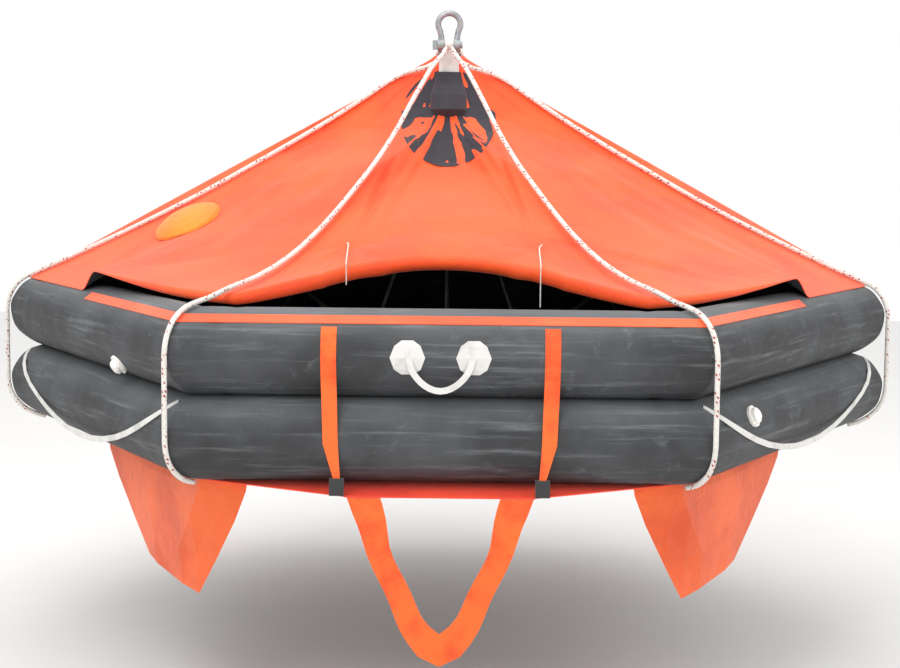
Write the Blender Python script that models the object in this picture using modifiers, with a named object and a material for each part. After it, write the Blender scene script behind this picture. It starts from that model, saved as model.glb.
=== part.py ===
"""Davit-launched inflatable life raft, hanging from its lifting shackle.

The world origin is the seat of the hoisting hook inside the shackle's bow. Heights in the
driving dimensions are measured from the plane where the two buoyancy tubes touch, and
raise_z() moves them to the world. The raft is a regular hexagon in plan with corners on the
X axis, and its entrance faces -Y.
"""
import math

import bmesh
import bpy
import numpy as np
from mathutils import Matrix, Vector

# Driving dimensions, in metres
SIDE = 1.70
TUBE_R = 0.155
TUBE_OFFSET = 0.150
TUBE_FACETS = 22
HOOK_SEAT_Z = 1.410
GAP = 0.0003

PIN_Z = 1.290
PIN_R = 0.0140
EYE_R = 0.028
EYE_HALF_GAP = 0.0215
BOW_ROD_R = 0.013
BOW_INNER_R = 0.034

STRAP_T = 0.005
STRAP_LOOP_W = 0.038
STRAP_W = 0.085
STRAP_BAND_T = 0.012
STRAP_BOTTOM_Z = 0.960

ROPE_R = 0.0095
FABRIC_T = 0.004
CROWN_Z = 1.245
CROWN_R = 0.050
CROWN_SHIFT = 0.085

PATCH_CENTRE_Z = 0.985
PATCH_HALF_W = 0.200
PATCH_HALF_H = 0.2025

FLOOR_TOP_Z = -0.290
FLOOR_BOTTOM_Z = -0.305
FLOOR_LINE_RADIUS = 0.500
FLOOR_LINE_R = 0.005
HUB_Z = 0.930

RAMP_EDGE_Y = -1.620
RAMP_EDGE_Z = -0.335
RAMP_EDGE_HALF_W = 0.330
PIPING_R = 0.004
BOARDING_STRAP_X = 0.385
WEB_T = 0.003

APOTHEM = SIDE * math.cos(math.radians(30))
MITRE = 1 / math.cos(math.radians(30))
CORNER_NAMES = ("right", "back_right", "back_left", "left", "front_left", "front_right")
SIDE_NAMES = ("back_right", "back", "back_left", "front_left", "front", "front_right")

# Canopy: each corner has a line of fabric from the crown to the hem, as (height, radius)
STRAIGHT_LINE = ((CROWN_Z, CROWN_R), (0.2846, 1.7894))
FRONT_LINE = ((CROWN_Z, CROWN_R), (1.12, 0.080), (1.00, 0.120), (0.93, 0.20), (0.86, 0.35),
              (0.775, 0.56), (0.672, 0.71), (0.568, 0.87), (0.484, 1.02), (0.416, 1.17),
              (0.360, 1.35), (0.335, 1.52))
FRONT_VALLEY = ((CROWN_Z, -0.045), (1.18, -0.022), (1.10, 0.012), (1.00, 0.075),
                (0.90, 0.150), (0.782, 0.270), (0.69, 0.480), (0.60, 0.730),
                (0.50, 0.880), (0.452, 1.000))
# Two swells of the front hem, as (share of the side, half width, height)
FRONT_HEM_RISE = ((0.22, 0.12, 0.036), (0.79, 0.11, 0.038))

# Ropes: over the front corners as (radius, height), and where the side ones have slipped to
# on the slanted front panels, as (fall, share of the side from its ridge)
ROPE_CLEAR = FABRIC_T + ROPE_R + 0.0036
FRONT_ROPE = ((0.15, 1.184), (0.29, 1.053), (0.42, 0.925), (0.56, 0.808), (0.71, 0.704),
              (0.87, 0.600), (1.02, 0.516), (1.17, 0.448), (1.35, 0.392), (1.52, 0.360),
              (1.62, 0.336))
LEFT_ROPE = ((0.10, 0.345), (0.18, 0.385), (0.27, 0.413), (0.36, 0.420), (0.44, 0.420),
             (0.51, 0.390), (0.56, 0.315), (0.61, 0.220), (0.66, 0.160), (0.73, 0.125),
             (0.81, 0.098), (0.87, 0.072), (0.93, 0.040))
RIGHT_ROPE = ((0.10, 0.245), (0.18, 0.262), (0.27, 0.268), (0.36, 0.274), (0.45, 0.285),
              (0.54, 0.272), (0.62, 0.215), (0.72, 0.178), (0.79, 0.142), (0.86, 0.110),
              (0.93, 0.070))
ROPE_END_ANGLE = -80

FLAP_R = 0.024
FLAP_END_R = 0.014
TIE_R = 0.0022
EYELET_PLACE = (0.830, 0.884)
TIE_HEM_SHARE = 0.735
PORT_PLACE = (0.345, 0.745)
PORT_R = 0.150
PORT_BULGE = 0.050

BUCKLE_X = RAMP_EDGE_HALF_W + 0.0253
POCKET_SHARES = (0.0, 0.10, 0.35, 0.70, 1.0)
POCKET_BULGE = 0.030
POCKET_HEM = 0.016

FESTOON_TOP_Z = -0.020
FESTOON_DROP = 0.240
INNER_FESTOON_TOP_Z = 0.150
INNER_FESTOON_DROP = 0.340
FESTOON_HALF_W = 0.011

SWING_AXIS = (0, 0, PIN_Z - HOOK_SEAT_Z)
LADDER_AXIS = (0, RAMP_EDGE_Y, RAMP_EDGE_Z - HOOK_SEAT_Z)

parts = None
cutters = None


def raise_z(z):
    """Height above the tubes' joint, turned into a world height."""
    return z - HOOK_SEAT_Z


def raised(points):
    """Points given from the tubes' joint, as an array of world points."""
    array = np.array(points, float)
    array[..., 2] -= HOOK_SEAT_Z
    return array


def clear_scene():
    for thing in list(bpy.data.objects):
        bpy.data.objects.remove(thing)


def make_collections():
    global parts, cutters
    parts = bpy.data.collections.new("life_raft")
    cutters = bpy.data.collections.new("cutters")
    bpy.context.scene.collection.children.link(parts)
    bpy.context.scene.collection.children.link(cutters)


def make_material(name, colour, roughness, metallic=0.0):
    material = bpy.data.materials.new(name)
    material.use_nodes = True
    shader = material.node_tree.nodes["Principled BSDF"]
    shader.inputs["Base Color"].default_value = (*colour, 1)
    shader.inputs["Roughness"].default_value = roughness
    shader.inputs["Metallic"].default_value = metallic
    material.diffuse_color = (*colour, 1)
    return material


MATERIALS = {}


def make_materials():
    for name, colour, roughness, metallic in (
            ("galvanised_steel", (0.42, 0.43, 0.44), 0.45, 0.9),
            ("canopy_orange", (1.0, 0.10, 0.012), 0.6, 0.0),
            ("band_orange", (0.85, 0.26, 0.02), 0.6, 0.0),
            ("strap_orange", (1.0, 0.08, 0.01), 0.7, 0.0),
            ("pocket_orange", (0.85, 0.10, 0.015), 0.65, 0.0),
            ("tube_rubber", (0.045, 0.048, 0.052), 0.7, 0.0),
            ("patch_black", (0.02, 0.02, 0.024), 0.8, 0.0),
            ("rope_white", (0.80, 0.78, 0.75), 0.8, 0.0),
            ("webbing_white", (0.66, 0.65, 0.62), 0.8, 0.0),
            ("webbing_grey", (0.35, 0.34, 0.33), 0.8, 0.0),
            ("valve_plastic", (0.85, 0.83, 0.80), 0.4, 0.0),
            ("cylinder_paint", (0.04, 0.09, 0.05), 0.4, 0.2)):
        MATERIALS[name] = make_material(name, colour, roughness, metallic)


def finish(thing, name, material, origin=None):
    """Names a finished solid, gives it its origin and material, and files it with the raft."""
    origin = Vector(SWING_AXIS if origin is None else origin)
    thing.data.transform(Matrix.Translation(-origin))
    thing.location = origin
    thing.name = name
    thing.data.name = name
    thing.data.materials.clear()
    thing.data.materials.append(MATERIALS[material])
    for collection in list(thing.users_collection):
        collection.objects.unlink(thing)
    parts.objects.link(thing)
    thing.hide_render = False
    thing.display_type = "TEXTURED"
    return thing


def as_cutter(thing):
    for collection in list(thing.users_collection):
        collection.objects.unlink(thing)
    cutters.objects.link(thing)
    thing.hide_render = True
    thing.display_type = "WIRE"
    return thing


def object_from_bmesh(bm, name):
    mesh = bpy.data.meshes.new(name)
    bm.to_mesh(mesh)
    bm.free()
    return as_cutter(bpy.data.objects.new(name, mesh))


def face_outward(bm):
    """Turns the faces of a closed body outwards."""
    if all(len(edge.link_faces) == 2 for edge in bm.edges):
        bmesh.ops.recalc_face_normals(bm, faces=bm.faces)
        if bm.calc_volume(signed=True) < 0:
            bmesh.ops.reverse_faces(bm, faces=bm.faces)


def baked(thing, merge=1e-5):
    """The object as a plain mesh, with its modifiers or its curve worked out."""
    depsgraph = bpy.context.evaluated_depsgraph_get()
    mesh = bpy.data.meshes.new_from_object(thing.evaluated_get(depsgraph))
    bm = bmesh.new()
    bm.from_mesh(mesh)
    bm.transform(thing.matrix_world)
    bmesh.ops.remove_doubles(bm, verts=bm.verts, dist=merge)
    bmesh.ops.dissolve_degenerate(bm, edges=bm.edges, dist=merge)
    face_outward(bm)
    name = thing.name
    bpy.data.objects.remove(thing)
    bpy.data.meshes.remove(mesh)
    return object_from_bmesh(bm, name)


def boolean(thing, tool, operation):
    modifier = thing.modifiers.new(operation.lower(), "BOOLEAN")
    modifier.operation = operation
    modifier.object = tool
    return modifier


def combine(first, others, operation="UNION"):
    """One solid from a first one and others, by Boolean modifiers that are worked out."""
    for other in others:
        boolean(first, other, operation)
    bpy.context.view_layer.update()
    return baked(first)


def box(name, low, high):
    bm = bmesh.new()
    bmesh.ops.create_cube(bm, size=1)
    low, high = Vector(low), Vector(high)
    size = high - low
    bmesh.ops.scale(bm, vec=size, verts=bm.verts)
    bmesh.ops.translate(bm, vec=(low + high) / 2, verts=bm.verts)
    return object_from_bmesh(bm, name)


def cylinder(name, centre, axis, radius, length, segments=24, radius_far=None):
    bm = bmesh.new()
    far = radius if radius_far is None else radius_far
    bmesh.ops.create_cone(bm, cap_ends=True, segments=segments, radius1=radius,
                          radius2=far, depth=length)
    turn = Vector((0, 0, 1)).rotation_difference(Vector(axis)).to_matrix().to_4x4()
    bm.transform(Matrix.Translation(Vector(centre)) @ turn)
    return object_from_bmesh(bm, name)


def tube_along(name, points, radius, bevel_resolution=2, swell=None):
    """A round rod or rope: a POLY curve through world points, with a round bevel."""
    curve = bpy.data.curves.new(name, "CURVE")
    curve.dimensions = "3D"
    curve.bevel_depth = radius
    curve.bevel_resolution = bevel_resolution
    curve.use_fill_caps = True
    spline = curve.splines.new("POLY")
    spline.points.add(len(points) - 1)
    for knot, point in zip(spline.points, points):
        knot.co = (*point, 1)
    if swell is not None:
        spline.points.foreach_set("radius", swell)
    thing = bpy.data.objects.new(name, curve)
    as_cutter(thing)
    bpy.context.view_layer.update()
    return baked(thing)


def smooth_path(points, count):
    """A Catmull-Rom curve through the points, read at equal steps of its length."""
    points = np.array(points, float)
    padded = np.vstack([2 * points[0] - points[1], points, 2 * points[-1] - points[-2]])
    t = np.linspace(0, 1, 24, endpoint=False)[:, None]
    runs = []
    for i in range(len(points) - 1):
        a, b, c, d = padded[i:i + 4]
        runs.append(0.5 * (2 * b + (c - a) * t + (2 * a - 5 * b + 4 * c - d) * t ** 2
                           + (3 * b - a - 3 * c + d) * t ** 3))
    dense = np.vstack(runs + [points[-1:]])
    steps = np.r_[0, np.cumsum(np.linalg.norm(np.diff(dense, axis=0), axis=1))]
    wanted = np.linspace(0, steps[-1], count)
    return np.column_stack([np.interp(wanted, steps, dense[:, k]) for k in range(3)])


def grid_object(name, grid, flip=False, wrap=False):
    """An open sheet of triangles through a grid of points, rows by columns."""
    rows, columns = grid.shape[:2]
    bm = bmesh.new()
    verts = [[bm.verts.new(point) for point in row] for row in grid]
    last = rows if wrap else rows - 1
    for i in range(last):
        for j in range(columns - 1):
            a, b = verts[i][j], verts[i][j + 1]
            c, d = verts[(i + 1) % rows][j + 1], verts[(i + 1) % rows][j]
            for ring in ([a, b, c], [a, c, d]):
                bm.faces.new(ring[::-1] if flip else ring)
    return object_from_bmesh(bm, name)


def thicken(thing, thickness, offset):
    modifier = thing.modifiers.new("wall", "SOLIDIFY")
    modifier.thickness = thickness
    modifier.offset = offset
    modifier.use_even_offset = True
    bpy.context.view_layer.update()
    return baked(thing)


def ribbon(name, path, across, half_width, thickness, offset=0.0):
    """A flat band along a path. across is the direction of its width at each point."""
    path = np.array(path, float)
    across = np.broadcast_to(np.array(across, float), path.shape)
    half = np.broadcast_to(np.array(half_width, float), (len(path),))[:, None]
    grid = np.stack([path - across * half, path + across * half], axis=1)
    return thicken(grid_object(name, grid), thickness, offset)


def corner_direction(index):
    angle = math.radians(60 * index)
    return np.array([math.cos(angle), math.sin(angle), 0.0])


def side_normal(index):
    """Outward direction of the side between corner index and the next one."""
    angle = math.radians(60 * index + 30)
    return np.array([math.cos(angle), math.sin(angle), 0.0])


def side_along(index):
    """Direction along a side, from its first corner to the next one."""
    angle = math.radians(60 * index + 120)
    return np.array([math.cos(angle), math.sin(angle), 0.0])


def tube_angles():
    """Angles of the upper tube's facets, from the flat where the tubes press together."""
    flat = math.asin((TUBE_OFFSET - GAP / 2) / TUBE_R)
    return np.linspace(-flat, math.pi + flat, TUBE_FACETS + 1)


def section(angle, reach, upper=True):
    """A point round a tube, as (distance from the raft's axis at mid side, height)."""
    sign = 1 if upper else -1
    return APOTHEM + reach * math.cos(angle), sign * TUBE_OFFSET + reach * math.sin(angle)


def build_shackle():
    """Bow with two eyes, and its pin with a square head."""
    centre_z = -BOW_INNER_R
    loop_r = BOW_INNER_R + BOW_ROD_R
    pin_z = raise_z(PIN_Z)
    eye_x = EYE_HALF_GAP + BOW_ROD_R
    arc = [(loop_r * math.cos(a), 0, centre_z + loop_r * math.sin(a))
           for a in np.linspace(math.radians(-32), math.radians(212), 15)]
    right_leg = [(eye_x, 0, pin_z + 0.006), (eye_x - 0.002, 0, pin_z + 0.026)]
    left_leg = [(-x, y, z) for x, y, z in right_leg[::-1]]
    path = smooth_path(right_leg + arc + left_leg, 34)
    bow = tube_along("bow_rod", path, BOW_ROD_R, 3)
    eyes = [cylinder("eye", (side * eye_x, 0, pin_z), (1, 0, 0), EYE_R, 2 * BOW_ROD_R)
            for side in (-1, 1)]
    bow = combine(bow, eyes)
    bore = cylinder("bore", (0, 0, pin_z), (1, 0, 0), PIN_R + GAP, 0.3, 32)
    bow = combine(bow, [bore], "DIFFERENCE")
    finish(bow, "shackle_bow", "galvanised_steel", (0, 0, 0))

    outside = eye_x + BOW_ROD_R
    pin = cylinder("pin", (0.002, 0, pin_z), (1, 0, 0), PIN_R, 2 * outside + 0.014, 32)
    head = box("head", (-outside - 0.022, -0.019, pin_z - 0.019),
               (-outside - GAP, 0.019, pin_z + 0.019))
    pin = combine(pin, [head])
    finish(pin, "shackle_pin", "galvanised_steel", (0, 0, 0))


def build_lifting_strap():
    """Webbing looped over the pin, spreading to its full width below the shackle's eyes."""
    inner = PIN_R + 0.0008
    outer = inner + STRAP_T
    pin_z = raise_z(PIN_Z)
    half_t = STRAP_BAND_T / 2
    neck_z = pin_z - 0.036
    start = math.asin(half_t / outer)
    turns = np.linspace(-math.pi / 2 + start, 1.5 * math.pi - start, 25)
    outline = [(outer * math.cos(a), pin_z + outer * math.sin(a)) for a in turns]
    outline = [(half_t, neck_z - 0.010)] + outline + [(-half_t, neck_z - 0.010)]
    bm = bmesh.new()
    verts = [bm.verts.new((-STRAP_LOOP_W / 2, y, z)) for y, z in outline]
    face = bm.faces.new(verts)
    made = bmesh.ops.extrude_face_region(bm, geom=[face])
    moved = [v for v in made["geom"] if isinstance(v, bmesh.types.BMVert)]
    bmesh.ops.translate(bm, vec=(STRAP_LOOP_W, 0, 0), verts=moved)
    bmesh.ops.recalc_face_normals(bm, faces=bm.faces)
    loop = object_from_bmesh(bm, "loop")
    hole = cylinder("hole", (0, 0, pin_z), (1, 0, 0), inner, 0.2, 32)
    loop = combine(loop, [hole], "DIFFERENCE")
    shoulder_z = neck_z - 0.004
    band = box("band", (-STRAP_W / 2, -half_t, raise_z(STRAP_BOTTOM_Z)),
               (STRAP_W / 2, half_t, shoulder_z))
    strap = combine(loop, [band])
    finish(strap, "lifting_strap", "webbing_white")


def line_at(line, t):
    """Height and radius of a fabric line at a share t of its fall from crown to hem."""
    heights = np.array([p[0] for p in line])[::-1]
    radii = np.array([p[1] for p in line])[::-1]
    z = CROWN_Z + (heights[0] - CROWN_Z) * t
    return z, np.interp(z, heights, radii)


def hem_lift(share):
    """How far the hem of a side beside the entrance stands above its seat, by its share
    of the side counted from the far corner: none to 0.42, then up and clear of the tube."""
    rise = np.clip((share - 0.42) / 0.10, 0, 1)
    return 0.085 * rise * rise * (3 - 2 * rise)


def canopy_point(side, u, t):
    """A point of the canopy's inner face: u runs along the side, t from crown to hem."""
    lines = [FRONT_LINE if c in (4, 5) else STRAIGHT_LINE for c in (side, (side + 1) % 6)]
    z0, r0 = line_at(lines[0], t)
    z1, r1 = line_at(lines[1], t)
    first = corner_direction(side) * r0
    second = corner_direction(side + 1) * r1
    point = first * (1 - u) + second * u
    z = z0 * (1 - u) + z1 * u
    shift = CROWN_SHIFT * (1 - t) ** 2.5
    if side == 4:
        valley_z, valley_r = line_at(FRONT_VALLEY, t)
        weight = math.sin(math.pi * u) ** 1.2
        point[1] += weight * (-valley_r - shift - point[1])
        z += weight * (valley_z - z)
        for place, half, height in FRONT_HEM_RISE:
            near = np.clip(1 - abs(u - place) / half, 0, 1)
            z += height * math.sin(math.pi / 2 * near) ** 2 * np.clip((t - 0.80) / 0.20, 0, 1) ** 1.5
    elif side in (3, 5):
        share = u if side == 3 else 1 - u
        seat = side_normal(side)
        reach = point @ seat
        wanted = np.interp(t, [0, 1], [CROWN_R, STRAIGHT_LINE[1][1]]) / MITRE
        hold = 1 - np.clip((share - 0.50) / 0.50, 0, 1) ** 1.3
        hold *= np.clip((t - 0.55) / 0.45, 0, 1) ** 1.5
        point = point + seat * (wanted - reach) * hold
        straight_z = CROWN_Z + (STRAIGHT_LINE[1][0] - CROWN_Z) * t
        z += (straight_z - z) * hold
        z += hem_lift(share) * np.clip((t - 0.75) / 0.25, 0, 1) * hold
    else:
        depth = 0.05 * 6.75 * t * (1 - t) ** 2 * math.sin(math.pi * u)
        point = point - side_normal(side) * depth
    return np.array([point[0], point[1] + shift, z])


def canopy_grid(side, columns, rows, low=0.0, high=1.0, start=0.0):
    """Rows run along the side from u = low to high, columns from the crown to the hem."""
    grid = np.array([[canopy_point(side, u, t) for t in np.linspace(start, 1, rows)]
                     for u in np.linspace(low, high, columns)])
    return raised(grid)


def trimmed_at_ridges(grid, side):
    """Holds a panel 0.15 mm back from the upright planes through its two corners."""
    half = GAP / 2 / math.sin(math.radians(60))
    grid[0] += side_along(side) * half
    grid[-1] -= side_along(side) * half
    return grid


def build_canopy():
    """Six panels from crown to hem, the front three cut round for the collar patch."""
    patch_cutter = cylinder("patch_cutter", (0, -0.37, raise_z(PATCH_CENTRE_Z)), (0, 1, 0),
                            1.0, 0.86, 40)
    for vert in patch_cutter.data.vertices:
        vert.co.x *= PATCH_HALF_W + GAP
        vert.co.z = raise_z(PATCH_CENTRE_Z) + (vert.co.z - raise_z(PATCH_CENTRE_Z)) * (
            PATCH_HALF_H + GAP)
    patch_core = cylinder("patch_core", (0, -0.37, raise_z(PATCH_CENTRE_Z)), (0, 1, 0),
                          1.0, 0.8, 40)
    for vert in patch_core.data.vertices:
        vert.co.x *= PATCH_HALF_W
        vert.co.z = raise_z(PATCH_CENTRE_Z) + (vert.co.z - raise_z(PATCH_CENTRE_Z)) * (
            PATCH_HALF_H)
    slot = box("slot", (-STRAP_W / 2 - 0.006, -0.0125, raise_z(1.02)),
               (STRAP_W / 2 + 0.006, 0.0125, raise_z(CROWN_Z + 0.05)))
    for side, name in enumerate(SIDE_NAMES):
        front = side in (3, 4, 5)
        grid = canopy_grid(side, 11, 19 if front else 10, start=0.105 if side == 4 else 0.0)
        panel = grid_object("panel", trimmed_at_ridges(grid, side))
        panel = thicken(panel, FABRIC_T, 1.0)
        if front:
            panel = combine(panel, [patch_cutter, slot], "DIFFERENCE")
        finish(panel, "canopy_panel_" + name, "canopy_orange")
    strips = [canopy_grid(side, 11, 19, start=0.02) for side in (3, 4, 5)]
    wide = np.concatenate([strips[0], strips[1][1:], strips[2][1:]])
    patch = thicken(grid_object("patch", wide), FABRIC_T, 1.0)
    patch = combine(patch, [patch_core], "INTERSECT")
    patch = combine(patch, [slot], "DIFFERENCE")
    finish(patch, "collar_patch", "patch_black")


def build_tubes():
    """Two hexagonal buoyancy tubes with a rope lug on each corner."""
    for upper, name in ((True, "upper_buoyancy_tube"), (False, "lower_buoyancy_tube")):
        bm = bmesh.new()
        profile = []
        for angle in tube_angles()[::-1]:
            reach, z = section(angle, TUBE_R)
            profile.append(bm.verts.new((reach * MITRE, 0, raise_z(z if upper else -z))))
        for i, vert in enumerate(profile):
            bm.edges.new((vert, profile[(i + 1) % len(profile)]))
        ring = object_from_bmesh(bm, "ring")
        screw = ring.modifiers.new("turn", "SCREW")
        screw.steps = screw.render_steps = 6
        screw.use_merge_vertices = True
        screw.merge_threshold = 0.0001
        bpy.context.view_layer.update()
        ring = baked(ring)
        bm = bmesh.new()
        bm.from_mesh(ring.data)
        bmesh.ops.recalc_face_normals(bm, faces=bm.faces)
        bm.to_mesh(ring.data)
        bm.free()
        ring = combine(ring, [rope_lug(corner, upper) for corner in range(6)])
        finish(ring, name, "tube_rubber")


def build_floor():
    """Hexagonal floor held between the lower tube's inner faces."""
    angles = tube_angles()
    reach = [section(a, TUBE_R)[0] for a in angles]
    height = [-section(a, TUBE_R)[1] for a in angles]
    inner = [(h, r) for r, h in zip(reach, height) if r < APOTHEM and h < -TUBE_OFFSET]
    inner.sort()
    edge = np.interp(FLOOR_TOP_Z, [p[0] for p in inner], [p[1] for p in inner]) - GAP
    bm = bmesh.new()
    bmesh.ops.create_cone(bm, cap_ends=True, segments=6, radius1=edge * MITRE,
                          radius2=edge * MITRE, depth=FLOOR_TOP_Z - FLOOR_BOTTOM_Z)
    middle = raise_z((FLOOR_TOP_Z + FLOOR_BOTTOM_Z) / 2)
    bmesh.ops.translate(bm, vec=(0, 0, middle), verts=bm.verts)
    bmesh.ops.rotate(bm, cent=(0, 0, 0), matrix=Matrix.Rotation(math.radians(30), 3, "Z"),
                     verts=bm.verts)
    finish(object_from_bmesh(bm, "floor"), "floor", "tube_rubber")


def tube_point(angle, offset, upper=True):
    """A point on the faceted tube at an angle, as (reach, height), moved out by an offset."""
    angles = tube_angles()
    if not upper:
        angles = -angles[::-1]
    ring = [section(a, TUBE_R + offset, upper) for a in angles]
    reach = np.interp(angle, angles, [p[0] for p in ring])
    height = np.interp(angle, angles, [p[1] for p in ring])
    return reach, height


def facet_angles(low, high, upper=True):
    """The facet corners between two angles, with both ends, in radians."""
    angles = tube_angles()
    if not upper:
        angles = -angles[::-1]
    inside = [a for a in angles if math.radians(low) + 0.01 < a < math.radians(high) - 0.01]
    return [math.radians(low)] + inside + [math.radians(high)]


def on_side(side, share, reach, z):
    """World point at a share of a side's length, at a reach from the axis and a height."""
    along = (share - 0.5) * SIDE * reach / APOTHEM
    point = side_normal(side) * reach + side_along(side) * along
    return np.array([point[0], point[1], raise_z(z)])


def fabric_normal(side, u, t):
    """Outward normal of the canopy at (u, t), from two small steps."""
    step = 0.01
    du = canopy_point(side, u + step, t) - canopy_point(side, u - step, t)
    dt = canopy_point(side, u, min(t + step, 1)) - canopy_point(side, u, t - step)
    normal = np.cross(dt, du)
    return normal / np.linalg.norm(normal)


def rope_over_canopy(corner):
    """Rope's route from the pin to the tube's top, from the tubes' joint up."""
    out = corner_direction(corner)
    if corner in (4, 5):
        sign = -1 if corner == 4 else 1
        start = [np.array([sign * 0.0098, -0.0302, 1.284]),
                 np.array([sign * 0.022, -0.052, 1.256])]
        return start + [np.array([out[0] * r, out[1] * r, z]) for r, z in FRONT_ROPE]
    if corner in (1, 2):
        sign = 1 if corner == 1 else -1
        route = [np.array([sign * 0.0098, 0.0302, 1.284]), np.array([sign * 0.034, 0.075, 1.279])]
        for t in np.linspace(0.07, 0.93, 9):
            ridge = canopy_point(corner, 0, t)
            lift = ROPE_CLEAR / math.cos(math.radians(30)) + 0.012 * (1 - t) ** 3
            route.append(ridge + np.array([0, 0, lift]))
        return route
    sign, side, slip, sink = ((1, 5, RIGHT_ROPE, 0.0014) if corner == 0
                              else (-1, 3, LEFT_ROPE, 0.0021))
    route = [np.array([sign * (STRAP_W / 2 + ROPE_R), -0.012, 1.222]),
             np.array([sign * 0.085, -0.016, 1.200])]
    for t, share in slip:
        u = share if side == 3 else 1 - share
        lift = ROPE_CLEAR - (sink if t > 0.4 else 0)
        route.append(canopy_point(side, u, t) + fabric_normal(side, u, t) * lift)
    return route


def rope_round_tubes(corner):
    """Over the upper tube's corner, straight down past the joint, and under the lower tube."""
    out = corner_direction(corner)
    first = 85 if corner in (4, 5) else 57
    points = []
    for upper, low, high in ((True, 0, first), (False, ROPE_END_ANGLE, 0)):
        for angle in np.radians(np.linspace(high, low, 8)):
            over_hem = np.interp(math.degrees(angle), [20, 45], [0.0016, 0.0060])
            reach, z = section(angle, TUBE_R + ROPE_R + over_hem, upper)
            points.append(np.array([*(out[:2] * reach * MITRE), z]))
    return points


def build_ropes():
    for corner, name in enumerate(CORNER_NAMES):
        route = smooth_path(raised(rope_over_canopy(corner)), 19 if corner in (0, 3) else 15)
        route = np.vstack([route, raised(rope_round_tubes(corner))])
        rope = tube_along("rope", route, ROPE_R, 2)
        finish(rope, "suspension_rope_" + name, "rope_white")


def rope_lug(corner, upper):
    """Webbing loop on a tube's corner, with the rope's channel cut through it."""
    out = corner_direction(corner)
    centre_z = raise_z(0.178 if upper else -0.155)
    deep = SIDE + MITRE * (TUBE_R + 2 * ROPE_R + 0.004)
    bm = bmesh.new()
    bmesh.ops.create_cube(bm, size=1)
    bmesh.ops.scale(bm, vec=(0.09, 0.11, 0.078), verts=bm.verts)
    bmesh.ops.translate(bm, vec=(deep - 0.045, 0, centre_z), verts=bm.verts)
    bmesh.ops.rotate(bm, cent=(0, 0, 0), verts=bm.verts,
                     matrix=Matrix.Rotation(math.radians(60 * corner), 3, "Z"))
    lug = object_from_bmesh(bm, "lug")
    channel = tube_along("channel", raised(rope_round_tubes(corner)), ROPE_R + 0.0025, 2)
    return combine(lug, [channel], "DIFFERENCE")


def behind_cutter(sides, push, margin, start=0.02):
    """Everything behind the canopy's outer face on some sides, as a solid to cut with."""
    strips = [canopy_grid(side, 11, 19, start=start) for side in sides]
    wide = np.concatenate([strips[0]] + [strip[1:] for strip in strips[1:]])
    sheet = grid_object("behind", wide)
    bm = bmesh.new()
    bm.from_mesh(sheet.data)
    bm.normal_update()
    normals = [vert.normal.copy() for vert in bm.verts]
    for vert, normal in zip(bm.verts, normals):
        vert.co += normal * (FABRIC_T + margin)
    made = bmesh.ops.extrude_face_region(bm, geom=bm.faces[:])
    moved = [v for v in made["geom"] if isinstance(v, bmesh.types.BMVert)]
    bmesh.ops.translate(bm, vec=push, verts=moved)
    bmesh.ops.recalc_face_normals(bm, faces=bm.faces)
    bm.to_mesh(sheet.data)
    bm.free()
    return sheet


def build_sleeve():
    """Cloth sleeve round the lifting strap, sewn to the collar patch."""
    rings = ((1.176, 0.0475, 0.0115, -0.0055), (1.13, 0.058, 0.026, -0.018),
             (1.08, 0.074, 0.048, -0.040), (1.02, 0.074, 0.058, -0.062),
             (0.975, 0.062, 0.054, -0.020))
    turns = np.linspace(0, 2 * math.pi, 20, endpoint=False)
    grid = np.array([[(a * math.cos(w), y + b * math.sin(w), z) for z, a, b, y in rings]
                     for w in turns])
    sleeve = thicken(grid_object("sleeve", raised(grid), wrap=True), 0.003, 1.0)
    strap = box("strap", (-STRAP_W / 2 - GAP, -0.30, raise_z(1.05)),
                (STRAP_W / 2 + GAP, 0.060, raise_z(1.30)))
    for vert in strap.data.vertices:
        if vert.co.y < -0.1:
            vert.co.y = -STRAP_BAND_T / 2 - GAP
    sleeve = combine(sleeve, [behind_cutter((3, 4, 5), (0, 0.6, 0), 0.0006)], "DIFFERENCE")
    sleeve = combine(sleeve, [strap], "DIFFERENCE")
    finish(sleeve, "strap_sleeve", "patch_black")


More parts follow.
